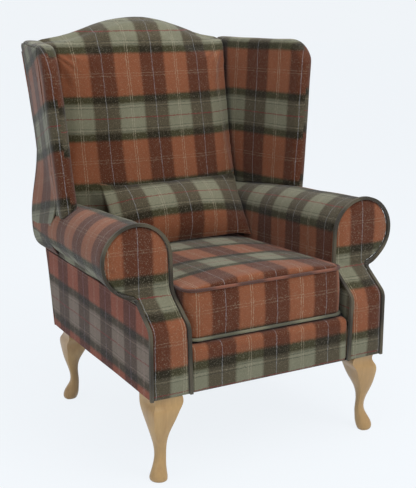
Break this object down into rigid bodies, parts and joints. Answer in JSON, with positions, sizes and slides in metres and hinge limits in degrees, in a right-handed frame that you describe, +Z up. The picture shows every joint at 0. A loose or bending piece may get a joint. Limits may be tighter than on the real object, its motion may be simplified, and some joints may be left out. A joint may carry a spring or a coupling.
{
  "type": "high-back wing armchair",
  "caption": "Upholstered high-back fireside wing chair with rolled arms, a loose piped seat cushion, a lumbar cushion and cabriole legs.",
  "frame": {"origin": "on the floor, in the middle of the chair's overall box, between the four feet", "axes": "+X to the right of someone who looks at the chair's front, +Y from the front of the seat to the back, +Z up; the sitter faces -Y"},
  "size_m": [0.842, 0.8507, 1.081],
  "materials": {
    "checked_wool": "woven wool, tartan check in terracotta, dark green and grey green",
    "piping_wool": "piping covered in the same checked wool",
    "leg_timber": "light natural hardwood, satin lacquer",
    "frame_timber": "plain sawn hardwood",
    "black_cloth": "black bottom and deck cloth",
    "webbing": "woven jute webbing",
    "spring_steel": "drawn spring steel",
    "plated_steel": "zinc-plated steel"
  },
  "bodies": {
    "chair": {"front_seat_rail": "frame_timber", "rear_seat_rail": "frame_timber", "corner_blocks": "frame_timber", "crest_rail": "frame_timber", "stay_rail": "frame_timber", "right_side_seat_rail": "frame_timber", "left_side_seat_rail": "frame_timber", "right_arm_stump": "frame_timber", "left_arm_stump": "frame_timber", "right_arm_rail": "frame_timber", "left_arm_rail": "frame_timber", "right_back_post": "frame_timber", "left_back_post": "frame_timber", "right_wing_post": "frame_timber", "left_wing_post": "frame_timber", "right_wing_rail": "frame_timber", "left_wing_rail": "frame_timber", "front_right_leg": "leg_timber", "front_left_leg": "leg_timber", "rear_right_leg": "leg_timber", "rear_left_leg": "leg_timber", "leg_bolts": "plated_steel", "leg_nuts": "plated_steel", "seat_springs": "spring_steel", "spring_clips": "spring_steel", "bottom_cloth": "black_cloth", "back_webbing": "webbing", "seat_deck": "black_cloth", "right_wing_pad": "checked_wool", "left_wing_pad": "checked_wool", "right_wing_outside_cover": "checked_wool", "left_wing_outside_cover": "checked_wool", "right_arm_facing": "checked_wool", "left_arm_facing": "checked_wool", "right_arm_pad": "checked_wool", "left_arm_pad": "checked_wool", "right_arm_outside_cover": "checked_wool", "left_arm_outside_cover": "checked_wool", "inside_back": "checked_wool", "outside_back": "checked_wool", "front_border": "checked_wool", "right_facing_piping": "piping_wool", "left_facing_piping": "piping_wool"},
    "seat_cushion": {"seat_cushion": "checked_wool", "seat_cushion_top_piping": "piping_wool", "seat_cushion_bottom_piping": "piping_wool"},
    "lumbar_cushion": {"lumbar_cushion": "checked_wool"}
  },
  "joints": [
    {"name": "seat_cushion_lift", "type": "slide", "parent": "chair", "child": "seat_cushion", "axis": [0, 0, 1], "range_m": [0, 0.35]},
    {"name": "lumbar_cushion_lift", "type": "slide", "parent": "seat_cushion", "child": "lumbar_cushion", "axis": [0, 0, 1], "range_m": [0, 0.3]}
  ]
}
